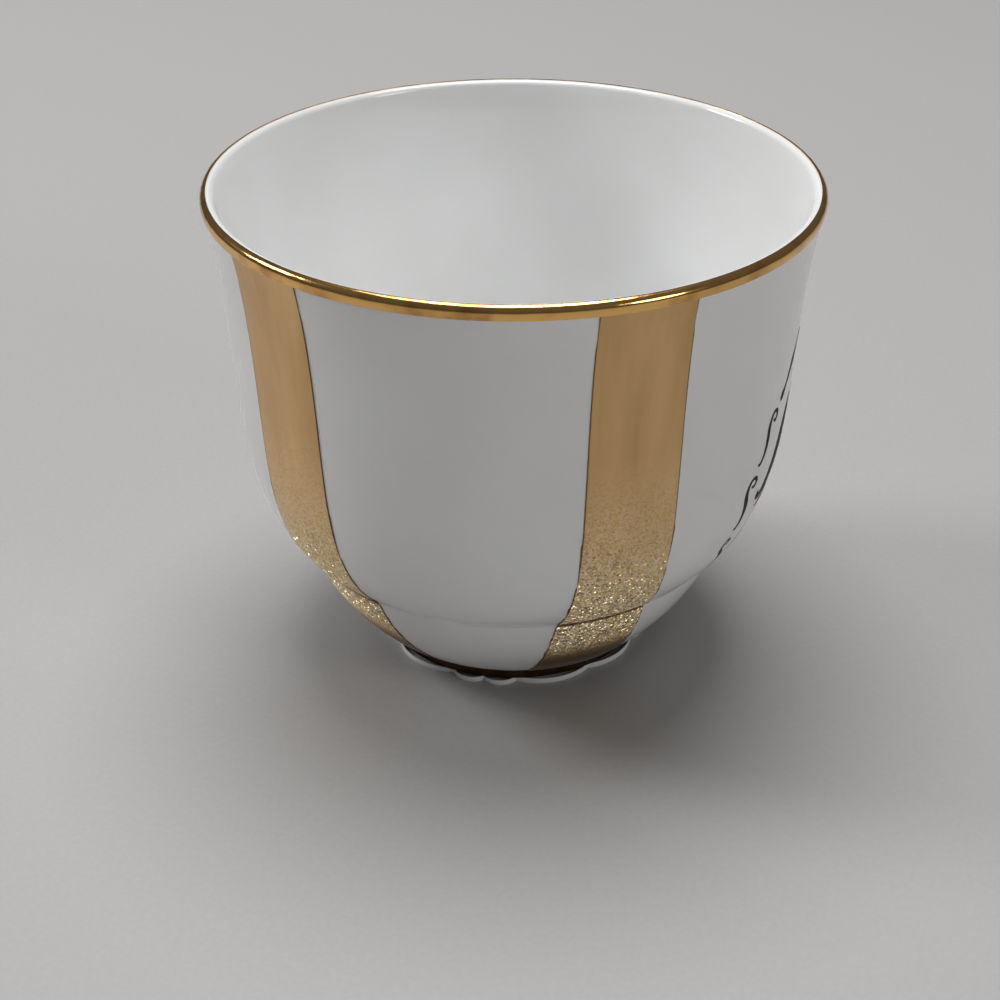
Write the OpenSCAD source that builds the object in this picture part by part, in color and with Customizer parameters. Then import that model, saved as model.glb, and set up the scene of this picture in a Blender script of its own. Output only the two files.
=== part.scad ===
// Espresso cup without a handle: a thin porcelain bowl on a scalloped foot, gilded at the rim,
// in four broad stripes down the wall and in the cove above the foot.
// Origin on the table under the middle of the foot, +Z up, millimetres.
// A narrow white panel faces -Y and another +Y. The wide panels face +X, which holds a print, and -X.

/* [Cup] */
// Outside width across the rim
rim_d = 62.6; // [58:0.2:68]
// Height from the table to the top of the lip
cup_h = 52; // [47:1:60]

/* [Bowl] */
// Thickness of the rounded lip
lip_t = 1.3; // [1:0.1:1.8]
// Outward lean of the wall where it meets the lip, in degrees
lip_flare = 12.5; // [7:0.5:18]
// Thickness of the wall at the shoulder
wall_t = 2.1; // [1.8:0.1:2.6]
// Outward lean of the wall above the shoulder, in degrees
wall_lean = 5; // [3:0.2:7]
// Outside width at the shoulder, where the round bottom runs into the wall
shoulder_d = 57.9; // [55.4:0.1:59]
// Height of the shoulder
shoulder_z = 28; // [25:0.5:31]
// Outside width at the crease between the bowl and the base band
crease_d = 46.3; // [44:0.1:48]
// Height of the crease
crease_z = 13.1; // [12:0.1:15]
// Rise of the bowl where it leaves the crease, in degrees from level
crease_rise = 40; // [34:1:48]
// Thickness of the cup's floor in the middle
floor_t = 2.5; // [2:0.1:3.5]

/* [Base band] */
// Outside width at the lower edge of the base band
band_d = 32.1; // [31.6:0.1:34]
// How far the base band bulges past a straight cone
band_bulge = 0.8; // [0.4:0.05:1.2]
// Height of the cove between the foot and the base band
cove_h = 2.05; // [1.6:0.05:2.6]
// How far the cove is set back under the base band
cove_depth = 1.65; // [1.3:0.05:2]

/* [Foot] */
// Width of the foot across the tips of its lobes
foot_d = 30.3; // [29.6:0.1:32]
// Height of the foot
foot_h = 0.6; // [0.5:0.05:1]
// Width of the foot's standing ring, from a lobe's tip to the hollow inside
foot_wall = 3.2; // [2.8:0.1:4.2]
// Height of the recess in the bowl's underside, inside the foot
recess_h = 1.6; // [1.2:0.1:2.2]
// How far the side of the recess leans in
recess_lean = 1.2; // [0.6:0.1:2]
// How far the middle of the underside is dished upwards
base_dish = 0.6; // [0.2:0.1:1]
// Radius of the broad lobes
broad_lobe_r = 6.8; // [6:0.1:8]
// Radius of the paired small lobes
small_lobe_r = 2.2; // [2:0.05:2.4]
// Angle from the middle of a panel to each small lobe, in degrees
small_lobe_turn = 6.5; // [6:0.1:7.5]
// Angle from the middle of a narrow panel to the broad lobes beside it, in degrees
narrow_lobe_turn = 31.5; // [30:0.1:33]
// Angle from the middle of a wide panel to the broad lobes beside it, in degrees
wide_lobe_turn = 27; // [26:0.1:29]

/* [Gilding] */
// Thickness of the fired gold film
gilding_t = 0.12; // [0.08:0.01:0.2]
// How far the rim band reaches down the wall below the lip
rim_band_out = 0.5; // [0.4:0.1:2]
// How far the gold reaches over the lip to the inside, in degrees round the lip
rim_band_over = 96; // [85:1:150]
// Width of a stripe, the same from the rim to the base
stripe_w = 9.8; // [7:0.1:12]
// Angle from the middle of a narrow panel to the stripes beside it, in degrees
stripe_turn = 35.7; // [32:0.1:45]

/* [Hidden] */
$fn = 96;

// Wide and narrow panels take turns round the cup, from the wide one at +X
panels = 4;
panel_turn = 360 / panels;
broad_lobe_turns = [wide_lobe_turn, narrow_lobe_turn];
// Sector of gold that a stripe is cut from, in degrees
stripe_sector = 60;

// Steps that each curve of the outline is drawn in
cove_steps = 4;
band_steps = 8;
bowl_steps = 14;
wall_steps = 8;
rim_steps = 2;
lip_steps = 10;
lip_rest_steps = 4;
inner_wall_steps = 8;
inner_bowl_steps = 16;

// How far a curve's handles reach, as shares of the distance between its ends
crease_pull = 0.28;
shoulder_pull = 0.44;
wall_pull = 0.33;
inner_pull = 0.5;
floor_pull = 0.57;

porcelain = [0.95, 0.94, 0.92];
gold = [0.83, 0.66, 0.36];
dark_gold = [0.36, 0.25, 0.14];

// A point on a curve with one handle, and on a curve with two
function arc1(a, b, c, t) = (1 - t) * (1 - t) * a + 2 * t * (1 - t) * b + t * t * c;
function arc2(a, b, c, d, t) =
    pow(1 - t, 3) * a + 3 * t * pow(1 - t, 2) * b + 3 * t * t * (1 - t) * c + pow(t, 3) * d;
// The direction of an angle from level, and the unit normal to the right of a direction
function dir(a) = [cos(a), sin(a)];
function right_of(v) = [v[1], -v[0]] / norm(v);
// Points pushed out by d along the normals of the line that they lie on
function pushed(p, d) = [
    for (i = [0:len(p) - 1])
        p[i] + d * right_of(p[min(i + 1, len(p) - 1)] - p[max(i - 1, 0)])
];
function back(p) = [for (i = [len(p) - 1:-1:0]) p[i]];

// The hollow inside the foot follows the foot's width
foot_bore_d = foot_d - 2 * foot_wall;

// Corner points of the underside, from the middle out
base_mid = [0, foot_h + recess_h + base_dish];
recess_edge = [foot_bore_d / 2 - recess_lean, foot_h + recess_h];
recess_foot = [foot_bore_d / 2, foot_h];

// Corner points of the outside, from the foot up
cove_foot = [band_d / 2 - cove_depth, foot_h];
band_edge = [band_d / 2, foot_h + cove_h];
cove_back = [cove_foot[0], band_edge[1]];
crease = [crease_d / 2, crease_z];
shoulder = [shoulder_d / 2, shoulder_z];
lip_r = lip_t / 2;
lip_mid = [rim_d / 2 - lip_r, cup_h - lip_r];
lip_out = lip_mid + lip_r * dir(-lip_flare);
lip_in = lip_mid + lip_r * dir(180 - lip_flare);

// Curves of the outside
band_mid = (band_edge + crease) / 2 + 2 * band_bulge * right_of(crease - band_edge);
wall_dir = dir(90 - wall_lean);
bowl_span = norm(shoulder - crease);
wall_span = norm(lip_out - shoulder);
function cove_at(t) = arc1(cove_foot, cove_back, band_edge, t);
function band_at(t) = arc1(band_edge, band_mid, crease, t);
function bowl_at(t) = arc2(crease, crease + crease_pull * bowl_span * dir(crease_rise),
    shoulder - shoulder_pull * bowl_span * wall_dir, shoulder, t);
function wall_at(t) = arc2(shoulder, shoulder + wall_pull * wall_span * wall_dir,
    lip_out - wall_pull * wall_span * dir(90 - lip_flare), lip_out, t);
function lip_at(a) = lip_mid + lip_r * dir(a - lip_flare);

// Where along the wall the rim band begins
rim_share = 1 - rim_band_out / wall_span;

// Curves of the inside, from the lip down to the middle of the floor
shoulder_in = shoulder - wall_t * right_of(wall_dir);
floor_mid = [0, base_mid[1] + floor_t];
inner_drop = shoulder_in[1] - floor_mid[1];
function inner_wall_at(t) = arc2(lip_in, lip_in - wall_pull * wall_span * dir(90 - lip_flare),
    shoulder_in + wall_pull * wall_span * wall_dir, shoulder_in, t);
function inner_bowl_at(t) = arc2(shoulder_in, shoulder_in - inner_pull * inner_drop * wall_dir,
    floor_mid + [floor_pull * shoulder_in[0], 0], floor_mid, t);

// The outline in stretches that the bowl and the gold films share
cove_line = [for (i = [0:cove_steps]) cove_at(i / cove_steps)];
band_line = [for (i = [0:band_steps]) band_at(i / band_steps)];
bowl_line = [for (i = [1:bowl_steps]) bowl_at(i / bowl_steps)];
wall_line = [for (i = [1:wall_steps]) wall_at(rim_share * i / wall_steps)];
stripe_line = concat(band_line, bowl_line, wall_line);
rim_line = [for (i = [0:rim_steps]) wall_at(rim_share + (1 - rim_share) * i / rim_steps)];
lip_line = [for (i = [1:lip_steps]) lip_at(rim_band_over * i / lip_steps)];
lip_rest = [
    for (i = [1:lip_rest_steps]) lip_at(rim_band_over + (180 - rim_band_over) * i / lip_rest_steps)
];
inner_wall_line = [for (i = [1:inner_wall_steps]) inner_wall_at(i / inner_wall_steps)];
inner_bowl_line = [for (i = [1:inner_bowl_steps]) inner_bowl_at(i / inner_bowl_steps)];

// A film of gold on a stretch of the outline, turned about the axis
module film(line, turn = 360) {
    rotate_extrude(angle = turn)
        polygon(concat(line, back(pushed(line, gilding_t))));
}

// A stripe of even width, its middle at an angle counted round from +X
module stripe(angle) {
    color(gold)
        rotate([0, 0, angle])
            intersection() {
                rotate([0, 0, -stripe_sector / 2])
                    film(stripe_line, stripe_sector);
                translate([0, -stripe_w / 2, 0])
                    cube([rim_d, stripe_w, cup_h]);
            }
}

module bowl() {
    color(porcelain)
        rotate_extrude()
            polygon(concat(
                [base_mid, recess_edge, recess_foot],
                cove_line,
                band_line,
                bowl_line,
                wall_line,
                rim_line,
                lip_line,
                lip_rest,
                inner_wall_line,
                inner_bowl_line
            ));
}

// The outline of the foot: a pair of small lobes at each panel and a broad one on either side
module foot_outline() {
    circle(d = foot_d - small_lobe_r);
    for (i = [0:panels - 1])
        for (side = [-1, 1]) {
            rotate(i * panel_turn + side * small_lobe_turn)
                translate([foot_d / 2 - small_lobe_r, 0])
                    circle(r = small_lobe_r);
            rotate(i * panel_turn + side * broad_lobe_turns[i % 2])
                translate([foot_d / 2 - broad_lobe_r, 0])
                    circle(r = broad_lobe_r);
        }
}

module foot_ring() {
    color(porcelain)
        linear_extrude(foot_h)
            difference() {
                foot_outline();
                circle(d = foot_bore_d);
            }
}

module rim_gilding() {
    color(gold)
        film(concat(rim_line, lip_line));
}

module stripe_left_front() {
    stripe(-90 - stripe_turn);
}

module stripe_right_front() {
    stripe(-90 + stripe_turn);
}

module stripe_left_back() {
    stripe(90 + stripe_turn);
}

module stripe_right_back() {
    stripe(90 - stripe_turn);
}

module foot_line() {
    color(dark_gold)
        film(cove_line);
}

bowl();
foot_ring();
rim_gilding();
stripe_left_front();
stripe_right_front();
stripe_left_back();
stripe_right_back();
foot_line();
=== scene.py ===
from math import atan2, cos, pi, radians, sin, sqrt, tau

import bmesh
import bpy
from mathutils import Matrix, Vector


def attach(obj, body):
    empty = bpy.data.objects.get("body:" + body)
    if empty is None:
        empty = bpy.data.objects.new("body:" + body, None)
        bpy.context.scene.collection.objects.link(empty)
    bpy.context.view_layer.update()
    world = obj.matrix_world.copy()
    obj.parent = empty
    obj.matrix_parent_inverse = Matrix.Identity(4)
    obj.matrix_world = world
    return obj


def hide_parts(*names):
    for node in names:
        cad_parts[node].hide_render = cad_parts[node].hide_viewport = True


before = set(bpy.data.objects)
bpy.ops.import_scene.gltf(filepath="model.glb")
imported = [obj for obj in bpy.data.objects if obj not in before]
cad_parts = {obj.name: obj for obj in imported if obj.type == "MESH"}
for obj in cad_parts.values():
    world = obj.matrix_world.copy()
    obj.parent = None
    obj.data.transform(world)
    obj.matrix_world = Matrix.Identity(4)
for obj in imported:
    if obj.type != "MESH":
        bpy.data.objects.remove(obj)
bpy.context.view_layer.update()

bl_info = {
    "name": "Gilded espresso cup",
    "version": (1, 0, 0),
    "blender": (4, 5, 0),
    "location": "View3D > Sidebar > Cup",
    "description": "Builds a small porcelain cup with gold stripes, a gold rim "
                   "and a scalloped foot",
    "category": "Add Mesh",
}

MM = 0.001
BODY = "root"
# Steps round the cup, and the distance under which points are one
TURN_STEPS = 192
WELD = 2e-6
# Faces that meet at less than this angle are shaded as one surface
SMOOTH = radians(32)
# Steps that each curve of the outline is drawn in
STEPS = {"cove": 16, "band": 24, "bowl": 32, "wall": 18, "rim": 3, "lip": 14, "lip_rest": 6,
         "inner_wall": 18, "inner_bowl": 36}
# How far a curve's handles reach, as shares of the distance between its ends
CREASE_PULL = 0.28
SHOULDER_PULL = 0.44
WALL_PULL = 0.33
INNER_PULL = 0.5
FLOOR_PULL = 0.57
# How far from the corner the glaze rounds the base band's lower edge and the crease
EDGE_SOFT = 0.35 * MM
CREASE_SOFT = 0.3 * MM
# How far the back of a gold film is sunk into the glaze
SUNK = 0.03 * MM
# Width of the camera's frame in millimetres
FRAME_WIDTH = 36


def length(name, description, mm):
    """A size in metres that a user may change, its default given in millimetres."""
    return bpy.props.FloatProperty(
        name=name, description=description, default=mm * MM, min=0, precision=5, unit="LENGTH")


def turn(name, description, degrees):
    """An angle that a user may change, its default given in degrees."""
    return bpy.props.FloatProperty(
        name=name, description=description, default=radians(degrees), subtype="ANGLE")


def linear(hex_colour):
    """An sRGB hex colour as the linear values that shaders take."""
    values = [int(hex_colour[i:i + 2], 16) / 255 for i in (1, 3, 5)]
    return [v / 12.92 if v <= 0.04045 else ((v + 0.055) / 1.055) ** 2.4 for v in values]


def colour(name, description, hex_colour):
    """A colour that a user may change, its default given as sRGB hex."""
    return bpy.props.FloatVectorProperty(
        name=name, description=description, default=linear(hex_colour), size=3,
        min=0, max=1, subtype="COLOR")


class CupSizes(bpy.types.PropertyGroup):
    """Sizes of the cup, the same as in the solids except for the thinner gold."""

    rim_width: length("Rim width", "Outside width across the rim", 62.6)
    height: length("Height", "From the table to the top of the lip", 52)
    lip_thickness: length("Lip thickness", "Thickness of the rounded lip", 1.3)
    lip_flare: turn("Lip flare", "Outward lean of the wall at the lip", 12.5)
    wall_thickness: length("Wall thickness", "Thickness of the wall at the shoulder", 2.1)
    wall_lean: turn("Wall lean", "Outward lean of the wall above the shoulder", 5)
    shoulder_width: length("Shoulder width", "Outside width where bottom and wall meet", 57.9)
    shoulder_height: length("Shoulder height", "Height where bottom and wall meet", 28)
    crease_width: length("Crease width", "Outside width at the crease", 46.3)
    crease_height: length("Crease height", "Height of the crease above the table", 13.1)
    crease_rise: turn("Crease rise", "Rise of the bowl where it leaves the crease", 40)
    floor_thickness: length("Floor thickness", "Thickness of the floor in the middle", 2.5)
    band_width: length("Band width", "Outside width at the base band's lower edge", 32.1)
    band_bulge: length("Band bulge", "How far the base band bulges past a cone", 0.8)
    cove_height: length("Cove height", "Height of the cove above the foot", 2.05)
    cove_depth: length("Cove depth", "How far the cove is set back", 1.65)
    foot_width: length("Foot width", "Width across the tips of the foot's lobes", 30.3)
    foot_height: length("Foot height", "Height of the foot", 0.6)
    foot_wall: length("Foot wall", "From a lobe's tip to the hollow inside the foot", 3.2)
    recess_height: length("Recess height", "Height of the recess under the bowl", 1.6)
    recess_lean: length("Recess lean", "How far the recess's side leans in", 1.2)
    base_dish: length("Base dish", "How far the underside is dished upwards", 0.6)
    broad_lobe: length("Broad lobe", "Radius of the foot's broad lobes", 6.8)
    small_lobe: length("Small lobe", "Radius of the foot's paired small lobes", 2.2)
    narrow_lobe_turn: turn("Narrow lobe turn", "From a narrow panel's middle to a broad lobe", 31.5)
    wide_lobe_turn: turn("Wide lobe turn", "From a wide panel's middle to a broad lobe", 27)
    small_lobe_turn: turn("Small lobe turn", "From a panel's middle to a small lobe", 6.5)
    gold_film: length("Gold film", "How far the gold stands out from the glaze", 0.08)
    rim_band: length("Rim band", "How far the rim's gold reaches down the wall", 0.5)
    rim_over: turn("Rim over", "How far the rim's gold reaches round the lip", 96)
    stripe_width: length("Stripe width", "Width of a gold stripe", 9.8)
    stripe_turn: turn("Stripe turn", "From a narrow panel's middle to its stripes", 35.7)


class CupColours(bpy.types.PropertyGroup):
    """Colours of the cup's finishes and of the stage."""

    porcelain: colour("Porcelain", "White body under the clear glaze", "#F0F1F1")
    satin_gold: colour("Satin gold", "Gold of the stripes where it is smooth", "#D8B27E")
    # Painted light in part: the grained gold is laid paler than the smooth gold, for the glitter
    # that the grain catches
    grained_gold: colour("Grained gold", "Gold of the stripes where it is grained", "#F9DDA6")
    rim_gold: colour("Rim gold", "Burnished gold of the rim", "#E8B870")
    # Painted shade: the cove's gold is laid dark brown for the deep shade under the band
    cove_gold: colour("Cove gold", "Dull dark gold in the cove", "#5A3F25")
    print_black: colour("Print black", "Black enamel of the scrollwork", "#1B1A1D")
    floor: colour("Floor", "Pale floor under the cup", "#B2B0AF")


class CupView(bpy.types.PropertyGroup):
    """Where the camera stands and how it looks."""

    distance: length("Distance", "From the cup's axis, along the floor", 182.48)
    height: length("Camera height", "Height above the floor", 121.95)
    round: turn("Round", "How far the camera stands round from the narrow panel", 12.65)
    tilt: turn("Tilt", "How far the camera looks down", 30.54)
    aside: turn("Aside", "How far the camera looks past the axis to the right", -0.45)
    roll: turn("Roll", "Turn of the camera about its own line of sight", -0.159)
    lens: bpy.props.FloatProperty(
        name="Lens", description=f"Focal length on a {FRAME_WIDTH} mm frame", default=69.02,
        unit="CAMERA")


# Outline of the cup

def bezier(handles, steps, start=0.0, end=1.0):
    """Points on the curve with these handles, from one share of it to another."""
    line = []
    for i in range(steps + 1):
        share = start + (end - start) * i / steps
        row = handles
        while len(row) > 1:
            row = [a.lerp(b, share) for a, b in zip(row, row[1:])]
        line.append(row[0])
    return line


def heading(angle):
    """The direction of an angle from level."""
    return Vector((cos(angle), sin(angle)))


def right_of(way):
    """The unit normal to the right of a direction."""
    return Vector((way.y, -way.x)).normalized()


def pushed(line, out):
    """A line moved out along its own normals."""
    last = len(line) - 1
    return [p + out * right_of(line[min(i + 1, last)] - line[max(i - 1, 0)])
            for i, p in enumerate(line)]


def softened(before, after, reach, steps=6):
    """Two stretches that meet in a corner, with the corner rounded as glaze rounds it."""
    corner = after[0]
    before = [p for p in before if (p - corner).length > reach]
    after = [p for p in after if (p - corner).length > reach]
    bend = bezier([before[-1], corner, after[0]], 2 * steps)
    return before + bend[1:steps + 1], bend[steps:-1] + after


def outline(sizes):
    """The cup's half section as named stretches of (radius, height) points."""
    cove_foot = Vector((sizes.band_width / 2 - sizes.cove_depth, sizes.foot_height))
    band_edge = Vector((sizes.band_width / 2, sizes.foot_height + sizes.cove_height))
    cove_back = Vector((cove_foot.x, band_edge.y))
    crease = Vector((sizes.crease_width / 2, sizes.crease_height))
    shoulder = Vector((sizes.shoulder_width / 2, sizes.shoulder_height))
    base_mid = Vector((0, sizes.foot_height + sizes.recess_height + sizes.base_dish))
    floor_mid = base_mid + Vector((0, sizes.floor_thickness))
    hollow = sizes.foot_width / 2 - sizes.foot_wall
    recess_edge = Vector((hollow - sizes.recess_lean, sizes.foot_height + sizes.recess_height))
    recess_foot = Vector((hollow, sizes.foot_height))
    wall_way = heading(pi / 2 - sizes.wall_lean)
    lip_way = heading(pi / 2 - sizes.lip_flare)
    lip_r = sizes.lip_thickness / 2
    lip_mid = Vector((sizes.rim_width / 2 - lip_r, sizes.height - lip_r))
    lip_out = lip_mid + lip_r * right_of(lip_way)
    lip_in = lip_mid - lip_r * right_of(lip_way)
    shoulder_in = shoulder - sizes.wall_thickness * right_of(wall_way)

    band_mid = (band_edge + crease) / 2 + 2 * sizes.band_bulge * right_of(crease - band_edge)
    bowl_span = (shoulder - crease).length
    wall_span = (lip_out - shoulder).length
    wall_pull = WALL_PULL * wall_span
    inner_drop = shoulder_in.y - floor_mid.y
    rim_share = 1 - sizes.rim_band / wall_span
    bowl = [crease, crease + CREASE_PULL * bowl_span * heading(sizes.crease_rise),
            shoulder - SHOULDER_PULL * bowl_span * wall_way, shoulder]
    wall = [shoulder, shoulder + wall_pull * wall_way, lip_out - wall_pull * lip_way, lip_out]
    inner_wall = [lip_in, lip_in - wall_pull * lip_way,
                  shoulder_in + wall_pull * wall_way, shoulder_in]
    inner_bowl = [shoulder_in, shoulder_in - INNER_PULL * inner_drop * wall_way,
                  floor_mid + Vector((FLOOR_PULL * shoulder_in.x, 0)), floor_mid]

    def lip(start, end, steps):
        """Points round the lip from one angle to another."""
        angles = [start + (end - start) * i / steps for i in range(steps + 1)]
        return [lip_mid + lip_r * heading(a - sizes.lip_flare) for a in angles]

    line = {
        "under": [base_mid, recess_edge],
        "recess": [recess_edge, recess_foot, cove_foot],
        "cove": bezier([cove_foot, cove_back, band_edge], STEPS["cove"]),
        "band": bezier([band_edge, band_mid, crease], STEPS["band"]),
        "bowl": bezier(bowl, STEPS["bowl"]),
        "wall": bezier(wall, STEPS["wall"], 0, rim_share),
        "rim": bezier(wall, STEPS["rim"], rim_share, 1),
        "lip": lip(0, sizes.rim_over, STEPS["lip"]),
        "lip_rest": lip(sizes.rim_over, pi, STEPS["lip_rest"]),
        "inner_wall": bezier(inner_wall, STEPS["inner_wall"]),
        "inner_bowl": bezier(inner_bowl, STEPS["inner_bowl"]),
    }
    line["cove"], line["band"] = softened(line["cove"], line["band"], EDGE_SOFT)
    line["band"], line["bowl"] = softened(line["band"], line["bowl"], CREASE_SOFT)
    return line


def joined(*stretches):
    """Stretches that share their end points, as one line."""
    line = list(stretches[0])
    for stretch in stretches[1:]:
        line += stretch[1:]
    return line


def film(line, out):
    """The closed section of a gold film on a line: its face, and its back just inside the glaze."""
    loop = pushed(line, out) + list(reversed(pushed(line, -SUNK)))
    return loop + loop[:1]


# Modelling by hand steps

def traced(name, points):
    """A new mesh, a chain of edges through the points, left open in edit mode."""
    bpy.ops.object.select_all(action="DESELECT")
    bpy.ops.mesh.primitive_plane_add(size=MM)
    piece = bpy.context.object
    piece.name = piece.data.name = name
    bpy.ops.object.mode_set(mode="EDIT")
    bpy.ops.mesh.select_all(action="SELECT")
    bpy.ops.mesh.merge(type="CENTER")
    bpy.ops.transform.translate(value=points[0])
    for a, b in zip(points, points[1:]):
        bpy.ops.mesh.extrude_region_move(TRANSFORM_OT_translate={"value": b - a})
    bpy.ops.mesh.select_all(action="SELECT")
    return piece


def welded():
    """Merges doubles in the open mesh and turns its faces outwards."""
    bpy.ops.mesh.select_all(action="SELECT")
    bpy.ops.mesh.remove_doubles(threshold=WELD)
    bpy.ops.mesh.normals_make_consistent(inside=False)


def spun(name, line):
    """A line of (radius, height) points turned once about the cup's axis."""
    piece = traced(name, [Vector((p.x, 0, p.y)) for p in line])
    bpy.ops.mesh.spin(steps=TURN_STEPS, angle=tau, center=(0, 0, 0), axis=(0, 0, 1))
    welded()
    return piece


def pick(piece, test, kind):
    """Selects in the open mesh the edges or faces that pass a test, and nothing else."""
    bpy.ops.mesh.select_all(action="DESELECT")
    mesh = bmesh.from_edit_mesh(piece.data)
    for item in getattr(mesh, kind):
        item.select = test(item)
    mesh.select_flush_mode()
    bmesh.update_edit_mesh(piece.data)


def fitted(piece, modifier, **settings):
    """Adds a modifier with its settings to the only selected piece and applies it."""
    added = piece.modifiers.new(modifier.title(), modifier)
    for name, value in settings.items():
        setattr(added, name, value)
    bpy.ops.object.modifier_apply(modifier=added.name)


def finished(piece, material, slot, *nodes):
    """Closes the mesh, gives it its finish and seats it on the frame in place of its solids."""
    if bpy.context.mode != "OBJECT":
        bpy.ops.object.mode_set(mode="OBJECT")
    bpy.ops.object.shade_smooth_by_angle(angle=SMOOTH)
    piece.data.materials.clear()
    piece.data.materials.append(material)
    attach(piece, BODY)
    if nodes:
        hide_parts(*nodes)


# Nodes of the finishes

def feed(tree, node, inputs):
    """Links a node's inputs to other nodes, or sets them."""
    for name, source in inputs.items():
        if isinstance(source, bpy.types.NodeSocket):
            tree.links.new(source, node.inputs[name])
        else:
            node.inputs[name].default_value = source


def add(tree, kind, inputs=None, **settings):
    """Adds a node with its settings and its inputs."""
    node = tree.nodes.new("ShaderNode" + kind)
    for name, value in settings.items():
        setattr(node, name, value)
    feed(tree, node, inputs or {})
    return node


def new_finish(name):
    """An empty material: its tree, its surface shader and its object coordinates."""
    material = bpy.data.materials.new(name)
    material.use_nodes = True
    tree = material.node_tree
    tree.nodes.clear()
    shader = add(tree, "BsdfPrincipled")
    add(tree, "OutputMaterial", {"Surface": shader.outputs["BSDF"]})
    return material, tree, shader, add(tree, "TexCoord").outputs["Object"]


def noise(tree, place, size, detail):
    """Soft noise from 0 to 1, its patches about this size."""
    node = add(tree, "TexNoise", {"Vector": place, "Scale": 1 / size, "Detail": detail})
    return node.outputs["Fac"]


def cells(tree, place, size):
    """Irregular cells of about this size."""
    return add(tree, "TexVoronoi", {"Vector": place, "Scale": 1 / size})


def sums(tree, operation, *values):
    """What an operation makes of one or two values."""
    return add(tree, "Math", dict(enumerate(values)), operation=operation).outputs[0]


def along(tree, value, start, end, most=1.0):
    """How far a value has come from a start to an end, from 0 up to the most."""
    node = add(tree, "MapRange", {"Value": value, "From Min": start, "From Max": end,
                                  "To Max": most})
    return node.outputs[0]


def spread(tree, value, low, high):
    """A value from 0 to 1, laid between two others."""
    return add(tree, "MapRange", {"Value": value, "To Min": low, "To Max": high}).outputs[0]


def ramp(tree, source, stops):
    """Colours along a value from 0 to 1, as (place, linear colour) stops."""
    node = add(tree, "ValToRGB", {"Fac": source})
    points = node.color_ramp.elements
    while len(points) < len(stops):
        points.new(1)
    for point, (place, shade) in zip(points, stops):
        point.position = place
        point.color = (*shade, 1)
    return node.outputs["Color"]


def blended(tree, share, shade, other):
    """A colour with another laid over it by a share."""
    factor, first, second, result = 0, 6, 7, 2
    node = add(tree, "Mix", {factor: share, first: shade, second: other}, data_type="RGBA")
    return node.outputs[result]


def plain(hex_colour):
    """An sRGB hex colour as a node's input takes it."""
    return (*linear(hex_colour), 1)


def bumped(tree, height, strength, depth):
    """A surface's normal, bumped by a field of heights."""
    node = add(tree, "Bump", {"Height": height, "Strength": strength, "Distance": depth})
    return node.outputs["Normal"]


def mixed(shade, other, share):
    """A colour moved a share of the way to another."""
    return [a + (b - a) * share for a, b in zip(shade, other)]


# Finishes

def glazed_porcelain(colours):
    """Hard-paste porcelain, cast and dipped in clear glaze: a cool white with a deep gloss,
    faintly uneven in tone, with slow ripples in the glaze and a few tiny kiln specks."""
    material, tree, shader, place = new_finish("glazed_porcelain")
    white = colours.porcelain
    # Tone drifts over about 20 mm
    tone = noise(tree, place, 20 * MM, 2.0)
    body = ramp(tree, tone, [
        (0.3, mixed(white, linear("#E8E6E3"), 0.5)), (0.7, mixed(white, linear("#F4F5F6"), 0.6))])
    # Specks of about 0.3 mm, one in some 6 mm, kept to a few by a second field
    speck = cells(tree, place, 6 * MM).outputs["Distance"]
    few = noise(tree, place, 9 * MM, 2.0)
    dot = along(tree, speck, 0.035, 0.02, 0.5)
    seen = sums(tree, "MULTIPLY", dot, along(tree, few, 0.6, 0.64))
    # Ripples in the glaze over about 7 mm, about a hundredth of a millimetre high
    ripple = noise(tree, place, 7 * MM, 1.0)
    feed(tree, shader, {
        "Base Color": blended(tree, seen, body, plain("#6E6258")),
        "Roughness": spread(tree, tone, 0.06, 0.13),
        "Normal": bumped(tree, ripple, 0.5, 0.06 * MM),
        "IOR": 1.52,
        "Subsurface Weight": 0.12,
        "Subsurface Radius": (1.0, 0.8, 0.6),
        "Subsurface Scale": 0.8 * MM,
    })
    return material


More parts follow.
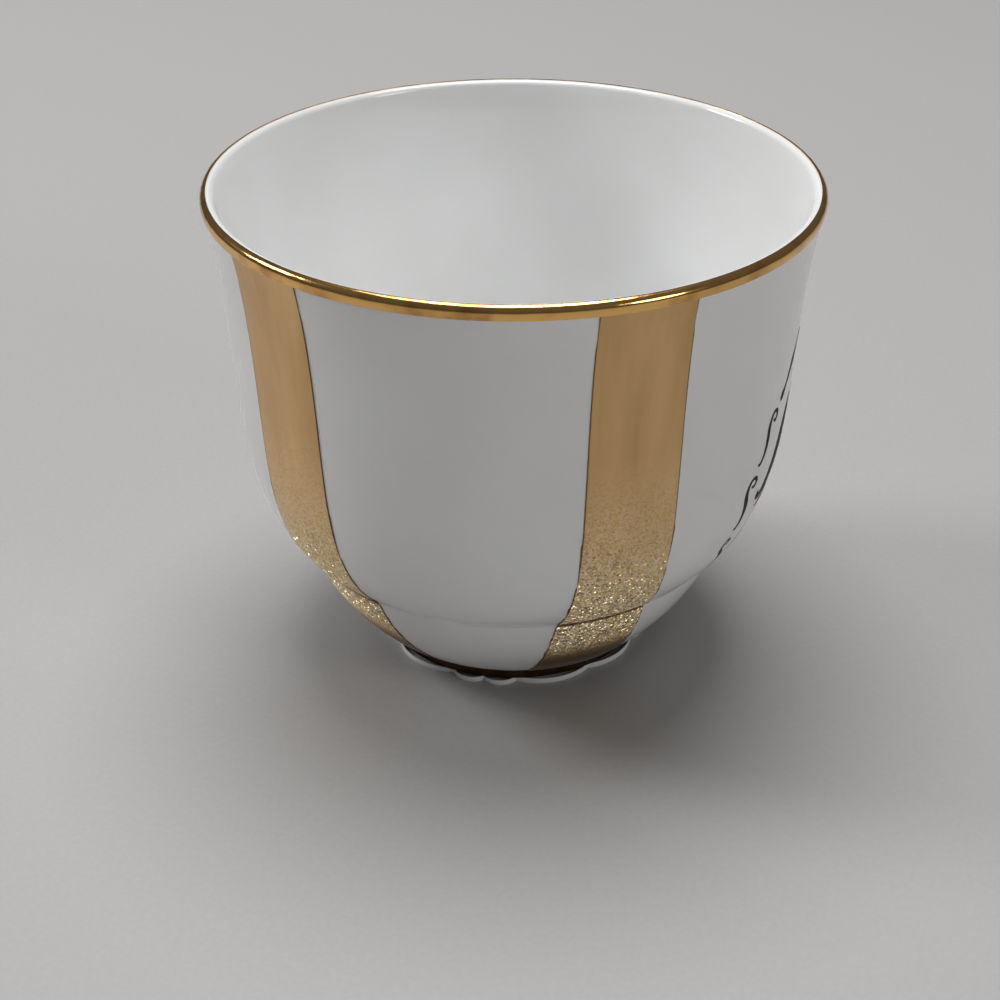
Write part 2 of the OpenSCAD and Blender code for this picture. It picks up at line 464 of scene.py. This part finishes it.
def satin_gold(colours, sizes):
    """Fired gold, brushed on and left satin: smooth and deep in tone on the upright wall, grained
    and glittering where the bowl turns under, with a fine brown line along its edges. Painted
    light: the grain's pale gold and its near-white and brown flakes stand in for glitter, and the
    brown in the crease and towards the bottom of the band is painted shade."""
    material, tree, shader, place = new_finish("satin_gold")
    axes = add(tree, "SeparateXYZ", {0: place})
    level = axes.outputs["Z"]
    # The four stripes are mirror images, so they are folded onto one and turned to lie along X
    aside = sums(tree, "ABSOLUTE", axes.outputs["X"])
    ahead = sums(tree, "ABSOLUTE", axes.outputs["Y"])
    folded = add(tree, "CombineXYZ", {"X": aside, "Y": ahead, "Z": level})
    laid = add(tree, "Mapping", {"Vector": folded.outputs[0],
                                 "Rotation": (0, 0, sizes.stripe_turn - pi / 2)})
    across = add(tree, "SeparateXYZ", {0: laid.outputs[0]}).outputs["Y"]
    # A brown line just inside the edges, and painted shade on both sides of the crease, where the
    # step's shadow falls
    half = sizes.stripe_width / 2
    edge = along(tree, sums(tree, "ABSOLUTE", across), half - 0.15 * MM, half - 0.04 * MM)
    above = sums(tree, "SUBTRACT", level, sizes.crease_height)
    crease = along(tree, sums(tree, "ABSOLUTE", above), 0.45 * MM, 0.2 * MM)
    line = sums(tree, "MAXIMUM", edge, crease)
    # The grain sets in below the shoulder, is strongest at the crease and thins out at the base
    stops = ((0.14, 0), (0.28, 1), (0.42, 1), (0.7, 0.35), (1.0, 0))
    under = ramp(tree, along(tree, level, 0, 35 * MM), [(at, (most,) * 3) for at, most in stops])
    # Flakes of about 0.17 mm, coarser than the real ones so that they show, each tilted its own
    # way and on the whole a little upwards
    flake = cells(tree, place, 0.17 * MM).outputs["Color"]
    lean = add(tree, "VectorMath", {0: flake, 1: (1.1, 1.1, 1.1), 2: (-0.55, -0.55, 0.2)},
               operation="MULTIPLY_ADD")
    tilt = add(tree, "VectorMath", {0: lean.outputs[0], "Scale": under}, operation="SCALE")
    face = add(tree, "NewGeometry").outputs["Normal"]
    facing = add(tree, "VectorMath", {0: tilt.outputs[0], 1: face}, operation="ADD")
    normal = add(tree, "VectorMath", {0: facing.outputs[0]}, operation="NORMALIZE")
    # Thicker and thinner gold in upright brush strokes about 3 mm wide
    upright = add(tree, "VectorMath", {0: place, 1: (1, 1, 0.15)}, operation="MULTIPLY")
    smooth = ramp(tree, noise(tree, upright.outputs[0], 3 * MM, 3.0), [
        (0.3, mixed(colours.satin_gold, linear("#8A6235"), 0.3)), (0.7, colours.satin_gold)])
    # Each flake has its own shade: a few are brown, most are gold and a few nearly white. The brown
    # and the near-white flakes are painted dark and bright glints of the grain
    chance = add(tree, "SeparateColor", {0: flake}).outputs[0]
    grain_and_glints = ramp(tree, chance, [
        (0.1, mixed(colours.grained_gold, linear("#5C4424"), 0.6)), (0.35, colours.grained_gold),
        (0.7, colours.grained_gold), (0.9, mixed(colours.grained_gold, (1, 1, 1), 0.7))])
    gold = blended(tree, under, smooth, grain_and_glints)
    # Painted shade: below the band's middle the gold is laid towards brown, for the dark contact
    # shadow that it reflects
    low = along(tree, level, 9 * MM, 5 * MM, 0.7)
    thin = blended(tree, low, gold, plain("#5A3F22"))
    feed(tree, shader, {
        # Brown along the edges, and painted shade in the crease
        "Base Color": blended(tree, line, thin, plain("#745638")),
        # The grained gold is matt, so part of its light is scattered
        "Metallic": spread(tree, under, 1.0, 0.85),
        "Normal": normal.outputs[0],
        "Roughness": 0.32,
    })
    return material


def burnished_gold(colours):
    """Gold burnished bright over the lip: a near mirror, slightly wavy from the brush,
    with thin places where the gold is browner."""
    material, tree, shader, place = new_finish("burnished_gold")
    thin = noise(tree, place, 4 * MM, 3.0)
    # Brush waves over about 5 mm
    wave = noise(tree, place, 5 * MM, 2.0)
    feed(tree, shader, {
        "Base Color": ramp(tree, thin, [
            (0.32, mixed(colours.rim_gold, linear("#8F5F2C"), 0.55)), (0.5, colours.rim_gold)]),
        "Roughness": spread(tree, thin, 0.24, 0.04),
        "Normal": bumped(tree, wave, 0.6, 0.25 * MM),
        "Metallic": 1,
    })
    return material


def dull_gold(colours):
    """Gold painted into the cove and never burnished, so dull and patchy; its dark colour is
    painted shade of the deep cove.
    """
    material, tree, shader, place = new_finish("dull_gold")
    patch = noise(tree, place, 1.2 * MM, 4.0)
    feed(tree, shader, {
        "Base Color": ramp(tree, patch, [
            (0.35, mixed(colours.cove_gold, linear("#2A1B10"), 0.6)), (0.65, colours.cove_gold)]),
        "Roughness": spread(tree, patch, 0.55, 0.35),
        "Normal": bumped(tree, patch, 0.4, 0.05 * MM),
        "Metallic": 0.8,
    })
    return material


def black_enamel(colours):
    """Black enamel printed on the glaze and fired: dense and nearly matt, with grey where the ink
    lies thin."""
    material, tree, shader, place = new_finish("black_enamel")
    black = colours.print_black
    ink = noise(tree, place, 0.8 * MM, 3.0)
    feed(tree, shader, {
        "Base Color": ramp(tree, ink, [
            (0.5, black), (0.75, mixed(black, linear("#8A8886"), 0.1))]),
        "Roughness": spread(tree, ink, 0.5, 0.7),
        "Specular IOR Level": 0.2,
    })
    return material


def floor_card(colours):
    """Matt laminated card: an even pale grey with a very fine tooth."""
    material, tree, shader, place = new_finish("floor_card")
    tooth = noise(tree, place, 0.6 * MM, 3.0)
    feed(tree, shader, {
        "Base Color": ramp(tree, tooth, [
            (0.3, mixed(colours.floor, linear("#A4A2A1"), 0.3)), (0.7, colours.floor)]),
        "Normal": bumped(tree, tooth, 0.25, 0.05 * MM),
        "Roughness": 0.6,
    })
    return material


def kept(name, make, *values):
    """A finish that several pieces share, made the first time it is asked for."""
    return bpy.data.materials.get(name) or make(*values)


# Operators

class CUP_OT_bowl(bpy.types.Operator):
    """Spin the porcelain bowl from the cup's half section"""

    bl_idname = "cup.bowl"
    bl_label = "Bowl"

    def execute(self, context):
        line = outline(context.scene.cup_sizes)
        bowl = spun("glazed_bowl", joined(*line.values()))
        finish = kept("glazed_porcelain", glazed_porcelain, context.scene.cup_colours)
        finished(bowl, finish, "porcelain", "bowl")
        return {"FINISHED"}


class CUP_OT_foot(bpy.types.Operator):
    """Draw the foot's lobed outline, raise it with rounded edges and bridge it to its hollow"""

    bl_idname = "cup.foot"
    bl_label = "Scalloped foot"

    # Panels round the cup, and steps of the foot's outline
    panels = 4
    outline_steps = 480
    # Steps of the foot's outside and of its hollow, from the table up: how far the edge is drawn
    # back into the porcelain, in millimetres, and its height as a share of the foot's
    outer_edge = ((0.1, 0.0), (0.03, 0.05), (0.0, 0.16), (0.0, 0.78), (0.04, 0.93), (0.12, 1.0))
    hollow_edge = ((0.1, 0.0), (0.03, 0.05), (0.0, 0.16), (0.0, 1.0))

    def reach(self, sizes, angle):
        """How far the outline reaches at an angle: the farthest of the lobes' circles."""
        tip = sizes.foot_width / 2
        far = tip - sizes.small_lobe / 2
        for panel in range(self.panels):
            broad_turn = sizes.narrow_lobe_turn if panel % 2 else sizes.wide_lobe_turn
            for lobe, off in ((sizes.small_lobe, sizes.small_lobe_turn),
                              (sizes.broad_lobe, broad_turn)):
                for side in (-1, 1):
                    turned = angle - panel * tau / self.panels - side * off
                    out = tip - lobe
                    room = lobe ** 2 - (out * sin(turned)) ** 2
                    if room > 0 and cos(turned) > 0:
                        far = max(far, out * cos(turned) + sqrt(room))
        return far

    def raised(self, radius, edge, side, height):
        """Raises the selected loop step by step, each step drawn in or out from the radius."""
        drawn, risen = radius, 0.0
        for inset, share in edge:
            if share:
                bpy.ops.mesh.extrude_region_move(
                    TRANSFORM_OT_translate={"value": (0, 0, share * height - risen)})
            size = radius + side * inset * MM
            bpy.ops.transform.resize(value=(size / drawn, size / drawn, 1),
                                     center_override=(0, 0, 0))
            drawn, risen = size, share * height

    def execute(self, context):
        sizes = context.scene.cup_sizes
        height = sizes.foot_height
        tip = sizes.foot_width / 2
        hollow = tip - sizes.foot_wall
        angles = [tau * i / self.outline_steps for i in range(self.outline_steps + 1)]
        loop = [Vector((*(self.reach(sizes, a) * heading(a)), 0)) for a in angles]
        foot = traced("scalloped_foot", loop)
        bpy.ops.mesh.remove_doubles(threshold=WELD)
        self.raised(tip, self.outer_edge, -1, height)
        bpy.ops.mesh.primitive_circle_add(vertices=self.outline_steps, radius=hollow)
        self.raised(hollow, self.hollow_edge, 1, height)
        for level in (0.0, height):
            pick(foot, lambda e: all(abs(v.co.z - level) < WELD for v in e.verts), "edges")
            bpy.ops.mesh.bridge_edge_loops()
        welded()
        finish = kept("glazed_porcelain", glazed_porcelain, context.scene.cup_colours)
        finished(foot, finish, "porcelain", "foot_ring")
        return {"FINISHED"}


class CUP_OT_cove_gold(bpy.types.Operator):
    """Spin the gold film in the cove above the foot, its finish darkened with painted shade"""

    bl_idname = "cup.cove_gold"
    bl_label = "Gold in the cove"

    def execute(self, context):
        sizes = context.scene.cup_sizes
        cove = spun("cove_gold", film(outline(sizes)["cove"], sizes.gold_film))
        finished(cove, dull_gold(context.scene.cup_colours), "dark_gold", "foot_line")
        return {"FINISHED"}


class CUP_OT_rim_gold(bpy.types.Operator):
    """Spin the burnished gold film over the lip"""

    bl_idname = "cup.rim_gold"
    bl_label = "Gold on the rim"

    def execute(self, context):
        sizes = context.scene.cup_sizes
        line = outline(sizes)
        rim = spun("rim_gold", film(joined(line["rim"], line["lip"]), sizes.gold_film))
        finished(rim, burnished_gold(context.scene.cup_colours), "polished_gold", "rim_gilding")
        return {"FINISHED"}


class CUP_OT_stripes(bpy.types.Operator):
    """Spin one stripe of gold film, trim it to an even width, and copy it round the cup"""

    bl_idname = "cup.stripes"
    bl_label = "Gold stripes"

    # Sector that a stripe is spun through before it is trimmed, and its steps
    sector = radians(48)
    sector_steps = 48
    # Each stripe's name, the angle of its narrow panel and the way round from there
    places = (("left_front", -pi / 2, -1), ("right_front", -pi / 2, 1),
              ("left_back", pi / 2, 1), ("right_back", pi / 2, -1))

    def execute(self, context):
        sizes = context.scene.cup_sizes
        line = outline(sizes)
        face = pushed(joined(line["band"], line["bowl"], line["wall"]), sizes.gold_film)
        start = heading(-self.sector / 2)
        stripe = traced("stripe_gold", [Vector((*(p.x * start), p.y)) for p in face])
        bpy.ops.mesh.spin(steps=self.sector_steps, angle=-self.sector, center=(0, 0, 0),
                          axis=(0, 0, 1))
        for side in (-1, 1):
            bpy.ops.mesh.select_all(action="SELECT")
            bpy.ops.mesh.bisect(plane_co=(0, side * sizes.stripe_width / 2, 0),
                                plane_no=(0, side, 0), clear_outer=True)
        welded()
        if sum(f.normal.x for f in bmesh.from_edit_mesh(stripe.data).faces) < 0:
            bpy.ops.mesh.flip_normals()
        bpy.ops.object.mode_set(mode="OBJECT")
        fitted(stripe, "SOLIDIFY", thickness=sizes.gold_film + SUNK, offset=-1)
        finish = satin_gold(context.scene.cup_colours, sizes)
        for name, panel, side in self.places:
            bpy.ops.object.select_all(action="DESELECT")
            stripe.select_set(True)
            context.view_layer.objects.active = stripe
            bpy.ops.object.duplicate()
            copy = context.object
            copy.name = copy.data.name = "stripe_gold_" + name
            bpy.ops.transform.rotate(value=-(panel + side * sizes.stripe_turn), orient_axis="Z",
                                     center_override=(0, 0, 0))
            bpy.ops.object.transform_apply(location=True, rotation=True, scale=True)
            finished(copy, finish, "satin_gold", "stripe_" + name)
        bpy.data.objects.remove(stripe)
        return {"FINISHED"}


class CUP_OT_print(bpy.types.Operator):
    """Draw the strokes of the scrollwork flat, mirror them and wrap them onto the wall"""

    bl_idname = "cup.print"
    bl_label = "Printed scrollwork"

    # Strokes of one half, as (across, height, width) in millimetres. Across is counted from the
    # middle of the panel towards the narrow panel.
    top_line = ((0.3, 38.4, 0.2), (1.7, 36.9, 0.8), (2.6, 36.1, 1.3), (3.5, 35.2, 0.8),
                (4.5, 34.1, 0.6), (5.3, 33.4, 1.1), (5.9, 33.1, 0.5))
    inner_leaf = ((1.2, 31.7, 0.2), (1.6, 30.6, 1.3), (2.1, 29.2, 2.1), (2.7, 27.8, 2.5),
                  (3.3, 26.2, 2.5), (4.1, 24.7, 2.2), (5.2, 23.3, 1.7), (6.5, 22.4, 1.0),
                  (7.4, 22.6, 0.7), (7.5, 23.3, 0.4))
    small_leaf = ((4.2, 22.4, 0.2), (5.5, 21.3, 0.6), (6.6, 20.9, 0.25))
    low_line = ((5.5, 17.3, 0.2), (6.5, 16.6, 0.5), (7.5, 15.9, 0.2))
    scroll = ((-0.1, 1.8, 0.25), (-0.55, 1.5, 0.42), (-1.0, 1.8, 0.48), (-0.85, 2.45, 0.45),
              (-0.2, 2.7, 0.45), (0.45, 2.3, 0.55), (0.8, 1.3, 0.7), (0.75, 0.0, 0.75),
              (0.9, -1.2, 0.65), (1.3, -2.1, 0.5), (1.8, -2.5, 0.42), (2.2, -2.3, 0.2))
    # Where each scroll stands: across, height, turn in degrees and scale
    scrolls = ((7.3, 29.7, 0, 1.0), (9.4, 23.2, -17, 1.0), (9.9, 17.3, -40, 0.68))
    # Steps from one point of a stroke to the next, and cuts across each step's face
    draw_steps = 7
    cuts = 2
    # Least width of a stroke, in millimetres
    thinnest = 0.05
    # How far ahead of the rim the strokes are drawn, how far the print then stands out from the
    # glaze, and its thickness, which sinks its back into the glaze
    ahead = 4 * MM
    stand_off = 0.02 * MM
    thickness = 3 * stand_off

    def strokes(self):
        """All the strokes of one half, with the scrolls turned and moved to their places."""
        strokes = [self.top_line, self.inner_leaf, self.small_leaf, self.low_line]
        for across, height, angle, scale in self.scrolls:
            spin = Matrix.Rotation(radians(angle), 2)
            moved = []
            for x, z, width in self.scroll:
                p = spin @ Vector((x, z)) * scale
                moved.append((across + p.x, height + p.y, width * scale))
            strokes.append(moved)
        return strokes

    def smooth(self, points):
        """Points on a smooth curve through the stroke's own points."""
        rows = [Vector(p) for p in points]
        rows = [2 * rows[0] - rows[1], *rows, 2 * rows[-1] - rows[-2]]
        path = []
        for a, b, c, d in zip(rows, rows[1:], rows[2:], rows[3:]):
            for i in range(self.draw_steps):
                t = i / self.draw_steps
                path.append(b + t / 2 * (c - a + t * (2 * a - 5 * b + 4 * c - d
                                                      + t * (3 * (b - c) + d - a))))
        return path + [rows[-2]]

    def sheet(self, points, x):
        """One stroke as a flat strip that faces X, its end extruded along the stroke."""
        rows = self.smooth(points)
        path = [Vector((x, -row.x * MM, row.y * MM)) for row in rows]
        widths = [max(row.z, self.thinnest) * MM for row in rows]
        last = len(path) - 1
        ways = [(path[min(i + 1, last)] - path[max(i - 1, 0)]).normalized()
                for i in range(len(path))]
        sides = [Vector((0, -way.z, way.y)) for way in ways]
        strip = traced("stroke", [path[0] - sides[0] * widths[0] / 2,
                                  path[0] + sides[0] * widths[0] / 2])
        for i in range(1, len(path)):
            bpy.ops.mesh.extrude_region_move(
                TRANSFORM_OT_translate={"value": path[i] - path[i - 1]})
            bend = atan2(sides[i].z, sides[i].y) - atan2(sides[i - 1].z, sides[i - 1].y)
            bend = (bend + pi) % tau - pi
            bpy.ops.transform.rotate(value=-bend, orient_axis="X", center_override=path[i])
            grown = widths[i] / widths[i - 1]
            bpy.ops.transform.resize(value=(1, grown, grown), center_override=path[i])
        bpy.ops.object.mode_set(mode="OBJECT")
        return strip

    def execute(self, context):
        x = context.scene.cup_sizes.rim_width / 2 + self.ahead
        sheets = [self.sheet(points, x) for points in self.strokes()]
        bpy.ops.object.select_all(action="DESELECT")
        for sheet in sheets:
            sheet.select_set(True)
        context.view_layer.objects.active = sheets[0]
        bpy.ops.object.join()
        printed = context.object
        printed.name = printed.data.name = "scroll_print"
        bpy.ops.object.transform_apply(location=True, rotation=True, scale=True)
        bpy.ops.object.mode_set(mode="EDIT")
        bpy.ops.mesh.select_all(action="SELECT")
        bpy.ops.mesh.subdivide(number_cuts=self.cuts)
        bpy.ops.object.mode_set(mode="OBJECT")
        fitted(printed, "MIRROR", use_axis=(False, True, False), use_mirror_merge=False)
        fitted(printed, "SHRINKWRAP", target=bpy.data.objects["glazed_bowl"],
               wrap_method="PROJECT", use_project_x=True, use_project_y=False,
               use_project_z=False, use_negative_direction=True, use_positive_direction=False,
               offset=self.stand_off)
        bpy.ops.object.mode_set(mode="EDIT")
        welded()
        pick(printed, lambda face: face.normal.x < 0, "faces")
        bpy.ops.mesh.flip_normals()
        bpy.ops.object.mode_set(mode="OBJECT")
        fitted(printed, "SOLIDIFY", thickness=self.thickness, offset=-1)
        finished(printed, black_enamel(context.scene.cup_colours), "print")
        return {"FINISHED"}


class CUP_OT_stage(bpy.types.Operator):
    """Lay the pale floor and set the soft lights, the sky and the camera"""

    bl_idname = "cup.stage"
    bl_label = "Stage"

    # Width of the floor in metres
    floor_size = 3.0
    # Name, place in metres, size in metres and power in watts of each soft lamp
    lamps = (
        ("overhead_softbox", (-0.06, 0.2, 0.88), 0.6, 6.5),
        ("left_softbox", (-0.68, 0.0, 0.48), 0.24, 2.4),
        ("right_softbox", (0.62, -0.3, 0.36), 0.24, 0.85),
    )
    # The point that the lamps are turned to
    aim = (0.0, 0.0, 0.025)
    # Strength of the sky, and its colours from the horizon up
    sky = 0.13
    sky_shades = ((0.0, "#DAD8D6"), (0.8, "#FFFFFF"))
    # Nearest that the camera sees, in metres
    clip_start = 0.01

    def lay_floor(self, context):
        """A pale card, wide enough to fill the view."""
        bpy.ops.object.select_all(action="DESELECT")
        bpy.ops.mesh.primitive_plane_add(size=self.floor_size)
        floor = context.object
        floor.name = floor.data.name = "floor"
        floor.data.materials.append(floor_card(context.scene.cup_colours))

    def hang_lamps(self, context):
        """Round soft lamps, all turned to the cup."""
        for name, place, size, power in self.lamps:
            way = Vector(self.aim) - Vector(place)
            bpy.ops.object.light_add(type="AREA", location=place,
                                     rotation=way.to_track_quat("-Z", "Y").to_euler())
            lamp = context.object
            lamp.name = lamp.data.name = name
            lamp.data.shape = "DISK"
            lamp.data.size = size
            lamp.data.energy = power

    def light_sky(self, context):
        """An even, nearly white sky that fills in the shadows."""
        world = bpy.data.worlds.new("sky")
        context.scene.world = world
        world.use_nodes = True
        tree = world.node_tree
        tree.nodes.clear()
        way = add(tree, "TexCoord").outputs["Generated"]
        height = add(tree, "SeparateXYZ", {0: way}).outputs["Z"]
        shade = ramp(tree, height, [(place, linear(shade)) for place, shade in self.sky_shades])
        light = add(tree, "Background", {"Color": shade, "Strength": self.sky})
        add(tree, "OutputWorld", {"Surface": light.outputs[0]})

    def set_camera(self, context):
        """A camera at the photograph's place and angle."""
        view = context.scene.cup_view
        facing = (Matrix.Rotation(view.round - view.aside, 3, "Z")
                  @ Matrix.Rotation(pi / 2 - view.tilt, 3, "X")
                  @ Matrix.Rotation(view.roll, 3, "Z"))
        stand = (view.distance * sin(view.round), -view.distance * cos(view.round), view.height)
        bpy.ops.object.camera_add(location=stand, rotation=facing.to_euler())
        camera = context.object
        camera.name = camera.data.name = "photo_camera"
        camera.data.sensor_width = FRAME_WIDTH
        camera.data.lens = view.lens
        camera.data.clip_start = self.clip_start
        context.scene.camera = camera

    def execute(self, context):
        self.lay_floor(context)
        self.hang_lamps(context)
        self.light_sky(context)
        self.set_camera(context)
        context.scene.view_settings.view_transform = "Standard"
        return {"FINISHED"}


class CUP_PT_panel(bpy.types.Panel):
    """Lists the cup's pieces, sizes and colours, and the camera's place"""

    bl_idname = "CUP_PT_panel"
    bl_label = "Gilded cup"
    bl_space_type = "VIEW_3D"
    bl_region_type = "UI"
    bl_category = "Cup"

    def draw(self, context):
        for maker in MAKERS:
            self.layout.operator(maker.bl_idname)
        for group in (context.scene.cup_sizes, context.scene.cup_colours, context.scene.cup_view):
            box = self.layout.box()
            for name in group.__annotations__:
                box.prop(group, name)


MAKERS = (CUP_OT_bowl, CUP_OT_foot, CUP_OT_cove_gold, CUP_OT_rim_gold, CUP_OT_stripes,
          CUP_OT_print, CUP_OT_stage)
GROUPS = {"cup_sizes": CupSizes, "cup_colours": CupColours, "cup_view": CupView}


def register():
    for group in GROUPS.values():
        bpy.utils.register_class(group)
    for name, group in GROUPS.items():
        setattr(bpy.types.Scene, name, bpy.props.PointerProperty(type=group))
    for maker in (*MAKERS, CUP_PT_panel):
        bpy.utils.register_class(maker)


def unregister():
    for maker in (CUP_PT_panel, *reversed(MAKERS)):
        bpy.utils.unregister_class(maker)
    for name in GROUPS:
        delattr(bpy.types.Scene, name)
    for group in reversed(GROUPS.values()):
        bpy.utils.unregister_class(group)


def main():
    register()
    bpy.ops.cup.bowl()
    bpy.ops.cup.foot()
    bpy.ops.cup.cove_gold()
    bpy.ops.cup.rim_gold()
    bpy.ops.cup.stripes()
    bpy.ops.cup.print()
    bpy.ops.cup.stage()


if __name__ == "__main__":
    main()
